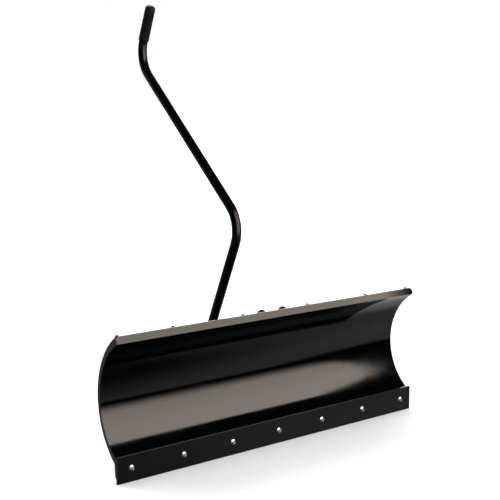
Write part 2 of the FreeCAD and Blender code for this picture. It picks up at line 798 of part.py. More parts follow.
front_bore = box(-d.mount_plate_x, 272, 8, d.mount_plate_x * 2, 21, 21)
keep("front_cross_tube", cut(front_bar, front_bore))
rear_bar = box(-d.mount_plate_x, 518, 12, d.mount_plate_x * 2, 30, 30)
rear_bore = box(-d.mount_plate_x, 520.5, 14.5, d.mount_plate_x * 2, 25, 25)
keep("rear_cross_tube", cut(rear_bar, rear_bore))


def hitch_pin(side):
    """Headed from inside the push arm, through the arm and the mount plate."""
    length = 34
    inner_x = d.arm_x * side
    start = inner_x if side == RIGHT else inner_x - length
    head_x = inner_x - 6 if side == RIGHT else inner_x
    shank = rod("x", start, d.hitch_y, d.hitch_z, d.hitch_radius, length)
    head = rod("x", head_x, d.hitch_y, d.hitch_z, d.hitch_radius + 4, 6)
    return fuse(shank, head)


keep("hitch_pins", group([hitch_pin(side) for side in SIDES.values()]))
hitch_clip_x = mount_outer + 1
keep("hitch_pin_clips", group([
    ring("x", hitch_clip_x if side == RIGHT else -hitch_clip_x - 4, d.hitch_y, d.hitch_z,
         d.hitch_radius + 6, d.hitch_radius, 4)
    for side in SIDES.values()
]))
keep("hitch_washers", group([
    ring("x", arm_outer + 0.5 if side == RIGHT else -arm_outer - 2.5, d.hitch_y, d.hitch_z,
         d.hitch_radius + 7, d.hitch_radius, 2)
    for side in SIDES.values()
]))

crank_low_x = d.lever_x - 3
crank_high_x = d.lever_x + 3
pivot_head = hexagon("x", crank_low_x - 9.5, d.lever_pivot_y, d.lever_pivot_z, 19, 8)
pivot_shank = rod("x", crank_low_x - 2, d.lever_pivot_y, d.lever_pivot_z, d.lever_pivot_radius, 58)
keep("lever_pivot_bolt", fuse(pivot_head, pivot_shank))
keep("lever_pivot_nut", cut(
    hexagon("x", -d.mount_plate_x, d.lever_pivot_y, d.lever_pivot_z, 19, 10),
    rod("x", -d.mount_plate_x - 1, d.lever_pivot_y, d.lever_pivot_z, d.lever_pivot_radius, 12)))
keep("lever_spacer", tube("x", -mount_outer - 27, d.lever_pivot_y, d.lever_pivot_z,
                          11, d.lever_pivot_radius, 27))


# ---------------------------------------------------------------- lift lever and link

crank_points = [
    (222, 230), (245, 240), (330, 188), (346, 166), (332, 148), (250, 126), (232, 136),
]
crank_holes = [
    (d.lever_pivot_y, d.lever_pivot_z, d.lever_pivot_radius + d.running_gap),
    (d.crank_pin_y, d.crank_pin_z, d.link_pin_radius),
]
crank = keep("lever_crank", plate("yz", crank_low_x, 6, crank_points, holes=crank_holes, corner=6))


def lever_tube():
    """A round tube with two wide bends, swept along its centreline."""
    body = doc.addObject("PartDesign::Body", "Tube")
    route = new_sketch(body, "yz", d.lever_x)
    corners = [
        (d.lever_foot_y, d.lever_foot_z), (d.lever_low_bend_y, d.lever_low_bend_z),
        (d.lever_high_bend_y, d.lever_high_bend_z), (d.lever_top_y, d.lever_top_z),
    ]
    at = [FreeCAD.Vector(u.value, v.value, 0) for u, v in corners]
    bend = d.lever_bend_radius.value
    bends = []
    for before, here, after in zip(at, at[1:], at[2:]):
        back = (before - here).normalize()
        ahead = (after - here).normalize()
        half = back.getAngle(ahead) / 2
        centre = here + (back + ahead).normalize() * (bend / math.sin(half))
        reach = bend / math.tan(half)
        bends.append((here + back * reach, here + ahead * reach, centre))
    (low_in, low_out, low_centre), (high_in, high_out, high_centre) = bends
    up = FreeCAD.Vector(0, 0, 1)

    def arc(centre, first, second):
        angles = [math.atan2(p.y - centre.y, p.x - centre.x) for p in (first, second)]
        return Part.ArcOfCircle(Part.Circle(centre, up, bend), *angles)

    route.addGeometry(Part.LineSegment(at[0], low_in))
    route.addGeometry(arc(low_centre, low_out, low_in))
    route.addGeometry(Part.LineSegment(low_out, high_in))
    route.addGeometry(arc(high_centre, high_in, high_out))
    route.addGeometry(Part.LineSegment(high_out, at[3]))
    for joint in ((0, 2, 1, 2), (1, 1, 2, 1), (2, 2, 3, 1), (3, 2, 4, 1)):
        route.addConstraint(Sketcher.Constraint("Tangent", *joint))
    fix_radius(route, 1, d.lever_bend_radius)
    fix_radius(route, 3, d.lever_bend_radius)
    fix_point(route, 0, 1, *corners[0])
    fix_point(route, 4, 2, *corners[3])
    for corner, sides in ((1, (0, 2)), (2, (2, 4))):
        mark = route.addGeometry(Part.Point(at[corner]), True)
        fix_point(route, mark, 1, *corners[corner])
        for side in sides:
            route.addConstraint(Sketcher.Constraint("PointOnObject", mark, 1, side))
    doc.recompute()
    section = body.newObject("Sketcher::SketchObject", "Section")
    section.AttachmentSupport = [(route, "Edge1")]
    section.MapMode = "NormalToEdge"
    middle = FreeCAD.Vector()
    for radius in (d.lever_tube_radius, d.lever_tube_radius - d.lever_wall):
        circle = section.addGeometry(Part.Circle(middle, up, radius.value))
        section.addConstraint(Sketcher.Constraint("Coincident", circle, 3, -1, 1))
        fix_radius(section, circle, radius)
    pipe = body.newObject("PartDesign::AdditivePipe", "Pipe")
    pipe.Profile = section
    pipe.Spine = (route, [])
    return body


keep("lever_tube", cut(lever_tube(), crank))

top_run_y = d.lever_top_y - d.lever_high_bend_y
top_run_z = d.lever_top_z - d.lever_high_bend_z
top_run = root(top_run_y * top_run_y + top_run_z * top_run_z)
top_lean = math.degrees(math.atan2(top_run_y.value, top_run_z.value))


def top_rod(radius, start, length):
    """A cylinder on the lever's top straight. start is measured from the tube's end."""
    cylinder = doc.addObject("Part::Cylinder", "Sleeve")
    bind(cylinder, "Radius", radius)
    bind(cylinder, "Height", length)
    cylinder.Placement.Rotation = FreeCAD.Rotation(FreeCAD.Vector(1, 0, 0), -top_lean)
    place(cylinder, d.lever_x, d.lever_top_y + top_run_y * start / top_run,
          d.lever_top_z + top_run_z * start / top_run)
    return cylinder


GRIP_CAP = 6
sleeve = top_rod(d.grip_radius, -d.grip_length + GRIP_CAP, d.grip_length)
sleeve_end = doc.addObject("Part::Fillet", "RoundedEnd")
sleeve_end.Base = sleeve
sleeve_end.Edges = [(1, 5.0, 5.0), (3, 2.0, 2.0)]
sleeve_bore = top_rod(d.lever_tube_radius, -d.grip_length + GRIP_CAP - 1,
                      d.grip_length - GRIP_CAP + 1)
keep("lever_grip", cut(sleeve_end, sleeve_bore))

crank_pin_shank = rod("x", crank_low_x - 7, d.crank_pin_y, d.crank_pin_z, d.link_pin_radius, 22)
crank_pin_head = rod("x", link_near_x + 5.5, d.crank_pin_y, d.crank_pin_z,
                     d.link_pin_radius + 4, 4)
keep("crank_pin", fuse(crank_pin_shank, crank_pin_head))
keep("crank_pin_clip", ring("x", crank_low_x - 5, d.crank_pin_y, d.crank_pin_z,
                            d.link_pin_radius + 5, d.link_pin_radius, 3))

link_half = 15
link_points = [
    (d.crank_pin_y - 12, d.crank_pin_z), (d.crank_pin_y - link_half, stud_z),
    (d.crank_pin_y + link_half, stud_z), (d.crank_pin_y + 12, d.crank_pin_z),
]
link_arcs = {1: (d.crank_pin_y, stud_z, 1), 3: (d.crank_pin_y, d.crank_pin_z, 1)}
link_holes = [
    (d.crank_pin_y, d.crank_pin_z, d.link_pin_radius + d.running_gap),
    (d.crank_pin_y, stud_z, d.link_eye_radius),
]
keep("lift_link", plate("yz", link_near_x, 5, link_points, link_arcs, link_holes))


# ---------------------------------------------------------------- checks and files

doc.recompute()
broken = [o.Name for o in doc.Objects if "Invalid" in o.State or "Error" in o.State]
if broken:
    raise SystemExit(f"objects failed: {broken}")
for part in parts:
    if part.Shape.isNull() or not part.Shape.isValid() or part.Shape.Volume <= 0:
        raise SystemExit(f"{part.Label} has no valid shape")
for part in parts:
    part.Shape.exportStep(f"parts/{part.Label}.step")
print(len(parts), "sub-parts written")
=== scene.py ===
import json
import math

import bmesh
import bpy
from mathutils import Matrix, Vector


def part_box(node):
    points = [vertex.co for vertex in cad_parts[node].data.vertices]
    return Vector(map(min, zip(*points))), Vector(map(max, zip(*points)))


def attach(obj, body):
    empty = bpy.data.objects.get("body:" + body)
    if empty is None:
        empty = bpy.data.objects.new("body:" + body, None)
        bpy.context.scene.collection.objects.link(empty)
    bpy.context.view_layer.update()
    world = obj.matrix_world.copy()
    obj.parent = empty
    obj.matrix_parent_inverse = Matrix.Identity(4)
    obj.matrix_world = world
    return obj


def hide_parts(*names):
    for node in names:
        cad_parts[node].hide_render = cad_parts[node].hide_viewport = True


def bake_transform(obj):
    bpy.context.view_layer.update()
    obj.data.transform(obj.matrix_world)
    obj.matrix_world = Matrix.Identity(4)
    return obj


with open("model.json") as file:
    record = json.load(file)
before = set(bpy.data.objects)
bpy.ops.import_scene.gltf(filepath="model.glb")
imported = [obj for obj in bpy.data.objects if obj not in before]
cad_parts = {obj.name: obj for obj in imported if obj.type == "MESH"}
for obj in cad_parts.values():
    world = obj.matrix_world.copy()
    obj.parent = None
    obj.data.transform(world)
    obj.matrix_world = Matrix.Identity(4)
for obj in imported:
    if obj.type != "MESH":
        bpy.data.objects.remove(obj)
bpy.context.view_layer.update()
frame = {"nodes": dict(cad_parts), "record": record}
nodes = frame["nodes"]
scene = bpy.context.scene
scene.view_settings.view_transform = "Standard"


# ---------------------------------------------------------------- node helpers

def new_tree(name):
    material = bpy.data.materials.new(name)
    material.use_nodes = True
    tree = material.node_tree
    shader = tree.nodes["Principled BSDF"]
    return material, tree, shader


def noise(tree, scale, detail=3.0, stretch=(1, 1, 1)):
    """Noise in object space. scale counts features per metre."""
    mapping = tree.nodes.new("ShaderNodeMapping")
    mapping.inputs["Scale"].default_value = stretch
    coordinates = tree.nodes.new("ShaderNodeTexCoord").outputs["Object"]
    tree.links.new(coordinates, mapping.inputs["Vector"])
    texture = tree.nodes.new("ShaderNodeTexNoise")
    texture.inputs["Scale"].default_value = scale
    texture.inputs["Detail"].default_value = detail
    tree.links.new(mapping.outputs[0], texture.inputs["Vector"])
    return texture.outputs["Fac"]


def remap(tree, value, low, high, to_low, to_high):
    node = tree.nodes.new("ShaderNodeMapRange")
    node.inputs["From Min"].default_value = low
    node.inputs["From Max"].default_value = high
    node.inputs["To Min"].default_value = to_low
    node.inputs["To Max"].default_value = to_high
    tree.links.new(value, node.inputs["Value"])
    return node.outputs[0]


def colour_between(tree, value, first, second):
    node = tree.nodes.new("ShaderNodeMix")
    node.data_type = "RGBA"
    node.inputs["A"].default_value = (*first, 1)
    node.inputs["B"].default_value = (*second, 1)
    tree.links.new(value, node.inputs["Factor"])
    return node.outputs["Result"]


def bump(tree, shader, *layers):
    """Stacks bump layers, each (height, strength, distance in metres)."""
    normal = None
    for height, strength, distance in layers:
        node = tree.nodes.new("ShaderNodeBump")
        node.inputs["Strength"].default_value = strength
        node.inputs["Distance"].default_value = distance
        tree.links.new(height, node.inputs["Height"])
        if normal is not None:
            tree.links.new(normal, node.inputs["Normal"])
        normal = node.outputs["Normal"]
    tree.links.new(normal, shader.inputs["Normal"])


# ---------------------------------------------------------------- materials

def grey(level):
    return (level, level, level)


def powder_coat(name, dark, dusty, roughness, peel, specular=0.5):
    """Gloss black powder coat: orange peel, faint dust and uneven gloss."""
    material, tree, shader = new_tree(name)
    cloud = noise(tree, 7, 4)
    dust = noise(tree, 420, 2)
    orange_peel = noise(tree, 330, 2)
    swell = noise(tree, 26, 2)
    tree.links.new(
        colour_between(tree, remap(tree, dust, 0.55, 0.85, 0, 1), dark, dusty),
        shader.inputs["Base Color"])
    tree.links.new(remap(tree, cloud, 0.35, 0.65, *roughness), shader.inputs["Roughness"])
    shader.inputs["Specular IOR Level"].default_value = specular
    bump(tree, shader, (orange_peel, peel, 0.0004), (swell, peel * 0.5, 0.002))
    return material


def zinc_plate(name, tone, roughness):
    """Zinc plate: mottled tone and fine handling scratches."""
    material, tree, shader = new_tree(name)
    mottle = noise(tree, 90, 5)
    scratch = noise(tree, 500, 2, (1, 14, 1))
    dull = tuple(channel * 0.82 for channel in tone)
    tree.links.new(
        colour_between(tree, remap(tree, mottle, 0.35, 0.7, 0, 1), tone, dull),
        shader.inputs["Base Color"])
    shader.inputs["Metallic"].default_value = 1.0
    tree.links.new(remap(tree, mottle, 0.3, 0.7, *roughness), shader.inputs["Roughness"])
    bump(tree, shader, (scratch, 0.12, 0.0002), (mottle, 0.08, 0.0004))
    return material


def grip_rubber():
    """Matt black rubber with smudges and a fine grain."""
    material, tree, shader = new_tree("ribbed_rubber")
    grain = noise(tree, 600, 3)
    smudge = noise(tree, 22, 4)
    tree.links.new(
        colour_between(tree, remap(tree, smudge, 0.4, 0.75, 0, 1), grey(0.0012), (0.0045, 0.0045, 0.0042)),
        shader.inputs["Base Color"])
    tree.links.new(remap(tree, smudge, 0.3, 0.7, 0.42, 0.6), shader.inputs["Roughness"])
    shader.inputs["Specular IOR Level"].default_value = 0.2
    bump(tree, shader, (grain, 0.25, 0.0003))
    return material


black = powder_coat("black_powder_coat", (0.0004, 0.0004, 0.00045), grey(0.0016), (0.06, 0.11), 0.10)
edge_black = powder_coat("cutting_edge_black", grey(0.0008), grey(0.0035), (0.13, 0.20), 0.22, 0.42)
lever_black = powder_coat("lever_black", grey(0.0005), grey(0.002), (0.16, 0.24), 0.12, 0.3)
zinc = zinc_plate("bright_zinc", (0.72, 0.73, 0.75), (0.20, 0.34))
spring_metal = zinc_plate("spring_steel", (0.36, 0.37, 0.39), (0.28, 0.42))
rubber = grip_rubber()

BY_SLOT = {"black_powder_coat": black, "zinc_plate": zinc, "rubber_grip": rubber,
           "spring_steel": spring_metal}
for part in frame["record"]["subparts"]:
    piece = nodes[part["node"]]
    piece.data.materials.clear()
    piece.data.materials.append(BY_SLOT[part["material_slot"]])
nodes["scraper_bar"].data.materials[0] = edge_black
nodes["lever_tube"].data.materials[0] = lever_black


# ---------------------------------------------------------------- places, in mm, from the frame

def mm(*point):
    return Vector(point) / 1000


def corners(node):
    """A node's box, as x0, y0, z0, x1, y1, z1."""
    low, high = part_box(node)
    return [value * 1000 for value in (*low, *high)]


def centre(node):
    x0, y0, z0, x1, y1, z1 = corners(node)
    return Vector((x0 + x1, y0 + y1, z0 + z1)) / 2


SIDES = ("left", "right")
RIBS = ("left_end_rib", "left_outer_rib", "left_inner_rib",
        "right_inner_rib", "right_outer_rib", "right_end_rib")
SHOE_X = {side: centre(f"{side}_skid_shoe").x for side in SIDES}

# the lever's bends and ends, in its own upright plane
LEVER_X = centre("lever_tube").x
LEVER_FOOT = Vector((LEVER_X, 257.4, 183.0))
LEVER_LOW_BEND = Vector((LEVER_X, 19.3, 702.2))
LEVER_HIGH_BEND = Vector((LEVER_X, 570.3, 1194.5))
LEVER_TOP = Vector((LEVER_X, 497.1, 1362.1))

# the moldboard's rolled back
BACK_RADIUS = 201.8
CURVE_Y = corners("moldboard")[4] - BACK_RADIUS
CURVE_Z = 233.5


# ---------------------------------------------------------------- mesh helpers

def mesh_object(name, build, material):
    mesh = bpy.data.meshes.new(name)
    shape = bmesh.new()
    build(shape)
    shape.normal_update()
    shape.to_mesh(mesh)
    shape.free()
    mesh.materials.append(material)
    made = bpy.data.objects.new(name, mesh)
    scene.collection.objects.link(made)
    return made


def rounded(name, build, material):
    """A smooth-shaded piece in the given material."""
    made = mesh_object(name, build, material)
    for face in made.data.polygons:
        face.use_smooth = True
    return made


def sweep(shape, points, radius, sides=8):
    """A closed tube along the points. radius is a number or a function of the point's number."""
    rings = []
    turn = None
    for number, point in enumerate(points):
        before = points[max(number - 1, 0)]
        after = points[min(number + 1, len(points) - 1)]
        along = (after - before).normalized()
        if turn is None:
            turn = along.orthogonal().normalized()
        turn = (turn - along * turn.dot(along)).normalized()
        cross = along.cross(turn)
        size = radius(number) if callable(radius) else radius
        rings.append([
            shape.verts.new(point + (turn * math.cos(a) + cross * math.sin(a)) * size)
            for a in (math.tau * side / sides for side in range(sides))])
    for low, high in zip(rings, rings[1:]):
        for side in range(sides):
            after = (side + 1) % sides
            shape.faces.new((low[side], low[after], high[after], high[side]))
    shape.faces.new(reversed(rings[0]))
    shape.faces.new(rings[-1])


def smooth_path(points, steps=6):
    """Catmull-Rom points through the given ones."""
    ends = [points[0] * 2 - points[1], *points, points[-1] * 2 - points[-2]]
    path = []
    for a, b, c, e in zip(ends, ends[1:], ends[2:], ends[3:]):
        for step in range(steps):
            t = step / steps
            path.append(0.5 * (2 * b + (c - a) * t + (2 * a - 5 * b + 4 * c - e) * t * t
                               + (3 * b - a - 3 * c + e) * t * t * t))
    path.append(points[-1])
    return path


def helix(start, end, radius, turns, per_turn):
    """Points that wind around the line from start to end."""
    along = (end - start).normalized()
    across = Vector((1, 0, 0))
    across = (across - along * across.dot(along)).normalized()
    third = along.cross(across)
    count = int(turns * per_turn)
    points = []
    for number in range(count + 1):
        angle = math.tau * turns * number / count
        points.append(start + (end - start) * number / count
                      + (across * math.cos(angle) + third * math.sin(angle)) * radius)
    return points


def circle(x, y, z, radius, count=36):
    """Points around a level circle, closed on itself, in metres."""
    return [mm(x + radius * math.cos(a), y + radius * math.sin(a), z)
            for a in (math.tau * n / count for n in range(count + 1))]


# ---------------------------------------------------------------- springs, in metres

TRIP_WIRE, TRIP_COIL = 0.0018, 0.0080
TRIP_SHANK, TRIP_HOOK = 0.109, 0.023
LUG_EYE = (0.0315, 0.408)
MAST_EYE = (0.168, 0.195)


def trip_spring(side):
    """Close-wound, with a long hooked shank at the lug and a short hook at the mast."""
    x = centre(f"{side}_trip_spring").x / 1000
    lug = Vector((x, *LUG_EYE))
    mast = Vector((x, *MAST_EYE))
    along = (mast - lug).normalized()
    across = Vector((1, 0, 0))
    first, last = lug + along * TRIP_SHANK, mast - along * TRIP_HOOK
    turns = round((last - first).length / (TRIP_WIRE * 2.06))
    coil = helix(first, last, TRIP_COIL, turns, 16)

    def beside(point, *offsets):
        return [point + mm(0, y, z) for y, z in offsets]

    shank = smooth_path([
        *beside(lug, (-3.6, -10.5), (-5.8, -7.0), (-5.6, -2.5), (-3.2, 0.8), (0.0, 1.6),
                (3.4, 0.4), (5.4, -3.2), (7.0, -8.5)),
        lug + along * 0.0200, lug + along * 0.0600, first - along * 0.0060,
        first - along * 0.0010 + across * 0.0040, coil[0]])
    hook = smooth_path([
        coil[-1], last + along * 0.0018 + across * 0.0045, last + along * 0.0060,
        *beside(mast, (-7.0, 9.0), (-5.4, 3.0), (-3.0, -0.6), (0.0, -1.6), (3.4, -0.6),
                (5.8, 2.8), (5.4, 7.2), (3.4, 10.5))])
    wire = shank[:-1] + coil + hook[1:]
    made = rounded(f"{side}_coil", lambda shape: sweep(shape, wire, TRIP_WIRE),
                   spring_metal)
    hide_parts(f"{side}_trip_spring")
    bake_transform(made)


def lock_pin_spring():
    """Open-wound, between the pin's collar and the guide's cap."""
    x0, y0, z0, x1, y1, z1 = corners("lock_pin_spring")
    y = (y0 + y1) / 2
    coil = helix(mm(0, y, z0 + 1.3), mm(0, y, z1 - 1.3), 0.0095, 4.5, 20)
    made = rounded("lock_pin_coil", lambda shape: sweep(shape, coil, 0.0012), spring_metal)
    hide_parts("lock_pin_spring")
    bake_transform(made)


for side in SIDES:
    trip_spring(side)
lock_pin_spring()


# ---------------------------------------------------------------- rubber grip

def grip(shape):
    """Lengthwise ribs, a domed end and a flared collar."""
    down_tube = (LEVER_HIGH_BEND - LEVER_TOP).normalized()
    side_axis = Vector((1, 0, 0))
    other_axis = down_tube.cross(side_axis)
    # distance below the tube's end, outer radius and groove depth, in mm
    stations = [(-5.6, 2.0, 0), (-5.3, 7.0, 0), (-4.3, 11.0, 0), (-2.4, 14.0, 0), (0.6, 16.0, 0.2),
                (4.0, 16.6, 0.8), (8.0, 16.8, 1.1), (30.0, 16.8, 1.1), (60.0, 16.8, 1.1),
                (88.0, 16.9, 1.1), (100.0, 17.0, 0.9), (103.0, 17.3, 0.2), (105.0, 17.5, 0),
                (110.5, 17.5, 0), (112.2, 16.9, 0), (112.5, 15.4, 0), (111.0, 14.7, 0)]
    grooves, per_groove = 22, 6
    count = grooves * per_groove
    rings = []
    for along, radius, depth in stations:
        ring = []
        for number in range(count):
            angle = math.tau * number / count
            dip = max(0.0, math.cos(angle * grooves)) ** 0.7
            outward = side_axis * math.cos(angle) + other_axis * math.sin(angle)
            point = LEVER_TOP + down_tube * along + outward * (radius - depth * dip)
            ring.append(shape.verts.new(point / 1000))
        rings.append(ring)
    for upper, lower in zip(rings, rings[1:]):
        for number in range(count):
            after = (number + 1) % count
            shape.faces.new((upper[number], lower[number], lower[after], upper[after]))
    shape.faces.new(rings[0])


made = rounded("ribbed_grip", grip, rubber)
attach(made, "lift_lever")
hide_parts("lever_grip")


# ---------------------------------------------------------------- weld beads, in mm

# a bead's middle stands this far outside the faces that it joins
PROUD = 0.6
BEAD_RADIUS = 2.4


def bead(shape, points, radius):
    """A weld bead along a path, with the ripples that a stick weld leaves."""
    pitch = 0.0026
    length = sum((b - a).length for a, b in zip(points, points[1:]))
    count = max(int(length / pitch * 4), 8)
    dense, total, index = [], 0.0, 0
    for number in range(count + 1):
        target = length * number / count
        while index < len(points) - 2 and total + (points[index + 1] - points[index]).length < target:
            total += (points[index + 1] - points[index]).length
            index += 1
        piece = points[index + 1] - points[index]
        dense.append(points[index] + piece * ((target - total) / max(piece.length, 1e-9)))

    def size(number):
        ripple = 1 + 0.13 * math.sin(math.pi * number / 2) + 0.07 * math.sin(number * 0.37 + radius * 9)
        end = min(1.0, 0.45 + 0.2 * min(number, count - number))
        return radius / 1000 * ripple * end

    sweep(shape, dense, size, 7)


def weld(name, body, runs, radius=BEAD_RADIUS):
    def build(shape):
        for run in runs:
            bead(shape, run, radius)
    made = rounded(name, build, black)
    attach(made, body)


def straight(a, b):
    return [mm(*a), mm(*b)]


def on_back(x, angle):
    """A point on the moldboard's back. angle is in degrees above level, seen from its centre."""
    a = math.radians(angle)
    reach = BACK_RADIUS + PROUD
    return mm(x, CURVE_Y + reach * math.cos(a), CURVE_Z + reach * math.sin(a))


def rib_runs():
    """Stitch welds down both faces of every rib, staggered from face to face."""
    runs = []
    for rib in RIBS:
        x = centre(rib).x
        for offset, stagger in ((-3.0, 0), (3.0, 3.5)):
            for first in range(-44, 54, 14):
                runs.append([on_back(x + offset, first + stagger + step) for step in range(8)])
    return runs


def lug_runs():
    """Along each leaning lug's foot, and a little way up its two edges."""
    runs = []
    for side in SIDES:
        x = centre(f"{side}_spring_lug").x
        runs.append([mm(x + shift, 31.0, 379.6) for shift in (-18, 0, 18)])
        for edge in (-19.2, 19.2):
            runs.append(straight((x + edge, 29.5, 380.6), (x + edge, 26.0, 385.5)))
    return runs


def shoe_bracket_runs():
    """Above and below the top plate, where it meets the moldboard's curve."""
    runs = []
    for side in SIDES:
        x0, _, _, x1, _, top = corners(f"{side}_shoe_bracket")
        for z in (top - 5 - PROUD, top + PROUD):
            y = CURVE_Y + math.sqrt((BACK_RADIUS + PROUD) ** 2 - (z - CURVE_Z) ** 2)
            runs.append(straight((x0 + 1, y, z), (x1 - 1, y, z)))
    return runs


def above_and_below(node, half_length, y):
    """Two runs across a level plate, over and under it at y."""
    _, _, z0, _, _, z1 = corners(node)
    return [straight((-half_length, y, z), (half_length, y, z)) for z in (z0 - PROUD, z1 + PROUD)]


def swing_head_runs():
    _, front, low, right, back, high = corners("pivot_channel")
    runs = []
    for x in (-right + PROUD, right - PROUD):
        for z in (low - PROUD, high + PROUD):
            runs.append(straight((x, front + 2, z), (x, back - 1, z)))
    for x in (-right, right):
        runs.append(straight((x, back + PROUD, low + 4), (x, back + PROUD, high - 4)))
    runs += above_and_below("tongue_plate", 47, back + PROUD)
    runs += above_and_below("lower_ear_plate", 47, back + PROUD)
    _, mast_front, mast_foot, _, mast_back, _ = corners("spring_mast")
    for y in (mast_front - PROUD, mast_back + PROUD):
        runs.append(straight((-42, y, mast_foot + PROUD), (42, y, mast_foot + PROUD)))
    _, guide_front, guide_foot, guide_radius, guide_back, _ = corners("lock_pin_guide")
    runs.append(circle(0, (guide_front + guide_back) / 2, guide_foot + PROUD, guide_radius + PROUD))
    return runs


def cross_tube_runs(node, x, foot):
    """Over the top and down both sides of a cross tube's end. foot is where the side runs start."""
    _, y0, z0, _, y1, z1 = corners(node)
    return [straight((x, y0 + 1, z1 + PROUD), (x, y1 - 1, z1 + PROUD)),
            straight((x, y0 - PROUD, z0 + foot), (x, y0 - PROUD, z1 - 1)),
            straight((x, y1 + PROUD, z0 + foot), (x, y1 + PROUD, z1 - 1))]


def push_frame_runs():
    runs = []
    for sign in (-1, 1):
        x = sign * (corners("right_push_arm")[0] - PROUD)
        _, y0, z0, _, y1, z1 = corners("index_plate")
        runs += [straight((x, y0 + 3, z), (x, y1 - 4, z)) for z in (z1 + PROUD, z0 - PROUD)]
        _, y0, z0, _, y1, _ = corners("nose_plate")
        runs.append(straight((x, y0 + 3, z0 - PROUD), (x, y1 - 3, z0 - PROUD)))
        runs += cross_tube_runs("push_cross_tube", x, 1)
    return runs


def mount_frame_runs():
    runs = []
    for sign in (-1, 1):
        x = sign * (corners("right_mount_plate")[0] - PROUD)
        runs += cross_tube_runs("front_cross_tube", x, 2)
        runs += cross_tube_runs("rear_cross_tube", x, 2)
    return runs


def crank_runs():
    """Along both sides of the lever's foot, on both faces of the crank plate."""
    lean = (LEVER_LOW_BEND - LEVER_FOOT).normalized()
    beside = Vector((0, lean.z, -lean.y))
    runs = []
    for x in (-3.6, 3.6):
        for shift in (-14.2, 14.2):
            start = LEVER_FOOT + beside * shift + Vector((x, 0, 0))
            runs.append([(start + lean * along) / 1000 for along in (3, 24, 44)])
    return runs


weld("rib_welds", "blade", rib_runs(), 2.2)
weld("lug_welds", "blade", lug_runs())
weld("shoe_bracket_welds", "blade", shoe_bracket_runs())
for side in SIDES:
    weld(f"{side}_shoe_weld", f"{side}_shoe",
         [straight((SHOE_X[side] - 13, 45.1, 5.6), (SHOE_X[side] + 13, 45.1, 5.6))])
weld("swing_head_welds", "swing_head", swing_head_runs())
weld("push_frame_welds", "push_frame", push_frame_runs())
weld("mount_frame_welds", "mount_frame", mount_frame_runs())
weld("crank_welds", "lift_lever", crank_runs())


# ---------------------------------------------------------------- hairpin clips, in mm

def hairpin(shape, x, y, z, pin_radius, size, turn):
    """One straight leg through the pin, and one bowed leg around it."""
    r = pin_radius
    outline = [(0, -r - 8), (0, 0), (0, r + 7), (1.6, r + 11.5), (5.2, r + 11.5), (6.6, r + 8),
               (4.4, r + 4.2), (r * 0.5 + 3.2, r * 0.62 + 1.6), (r + 1.9, 0),
               (r * 0.5 + 2.8, -r * 0.62 - 1.6), (2.6, -r - 4.0), (5.8, -r - 8.0)]
    cosine, sine = math.cos(turn), math.sin(turn)
    points = [mm(x, y + (u * cosine - v * sine) * size, z + (u * sine + v * cosine) * size)
              for u, v in outline]
    sweep(shape, smooth_path(points), 0.00125)


def clips(name, body, node, pin, places_x, pin_radius, size, turn):
    """Hairpins at each x, in line with the pin, that replace the node's plain rings."""
    _, y, z = (round(value, 1) for value in centre(pin))

    def build(shape):
        for x in places_x:
            hairpin(shape, x, y, z, pin_radius, size, turn)
    made = rounded(name, build, zinc)
    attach(made, body)
    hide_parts(node)


def inside_ends(pin, gap):
    """The two places along x that are a gap inside a pin's ends, to a tenth of a millimetre."""
    x0, _, _, x1, _, _ = corners(pin)
    return round(x0 + gap, 1), round(x1 - gap, 1)


clips("hinge_hairpins", "swing_head", "hinge_pin_clips", "hinge_pins",
      inside_ends("hinge_pins", 6.4), 6, 0.8, math.radians(-38))
clips("hitch_hairpins", "mount_frame", "hitch_pin_clips", "hitch_pins",
      inside_ends("hitch_pins", 10.0), 8, 0.95, 0.35)
clips("lift_stud_hairpin", "push_frame", "lift_stud_clip", "lift_stud",
      inside_ends("lift_stud", 1.9)[:1], 6, 0.9, 0.6)
clips("crank_pin_hairpin", "lift_lever", "crank_pin_clip", "crank_pin",
      inside_ends("crank_pin", 3.4)[:1], 6, 0.9, -0.5)


# ---------------------------------------------------------------- screw threads, in mm

def thread(shape, start, end, radius, pitch):
    turns = (end - start).length / (pitch / 1000)
    sweep(shape, helix(start, end, radius / 1000, turns, 14), 0.00042, 5)


def blade_threads(shape):
    """Behind the cutting edge's seven nuts, and at the ends of the four shoe bolts."""
    bolt_end = corners("scraper_bolts")[4]
    nut_back = corners("scraper_nuts")[4]
    for number in range(-3, 4):
        x = 180.8 * number
        thread(shape, mm(x, nut_back + 0.4, 40), mm(x, bolt_end - 0.8, 40), 4.7, 1.4)
    shoe_bolt_end = corners("shoe_bolts")[1]
    for side in SIDES:
        for z in (34, 58):
            start, end = shoe_bolt_end + 0.4, shoe_bolt_end + 2.8
            thread(shape, mm(SHOE_X[side], start, z), mm(SHOE_X[side], end, z), 3.95, 1.25)


def kingpin_thread(shape):
    middle = centre("kingpin")
    foot = corners("kingpin")[2]
    thread(shape, mm(0, middle.y, foot + 0.6), mm(0, middle.y, foot + 4), 9.4, 2.0)


made = rounded("blade_threads", blade_threads, zinc)
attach(made, "blade")
made = rounded("kingpin_thread", kingpin_thread, zinc)
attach(made, "swing_head")


# ---------------------------------------------------------------- soft edges on every CAD node

EDGE_WIDTH = 0.0006

for part in frame["record"]["subparts"]:
    bevel = nodes[part["node"]].modifiers.new("soft_edge", "BEVEL")
    bevel.width = EDGE_WIDTH
    bevel.segments = 2
    bevel.limit_method = "ANGLE"
    bevel.angle_limit = math.radians(40)
    bevel.harden_normals = True


# ---------------------------------------------------------------- camera

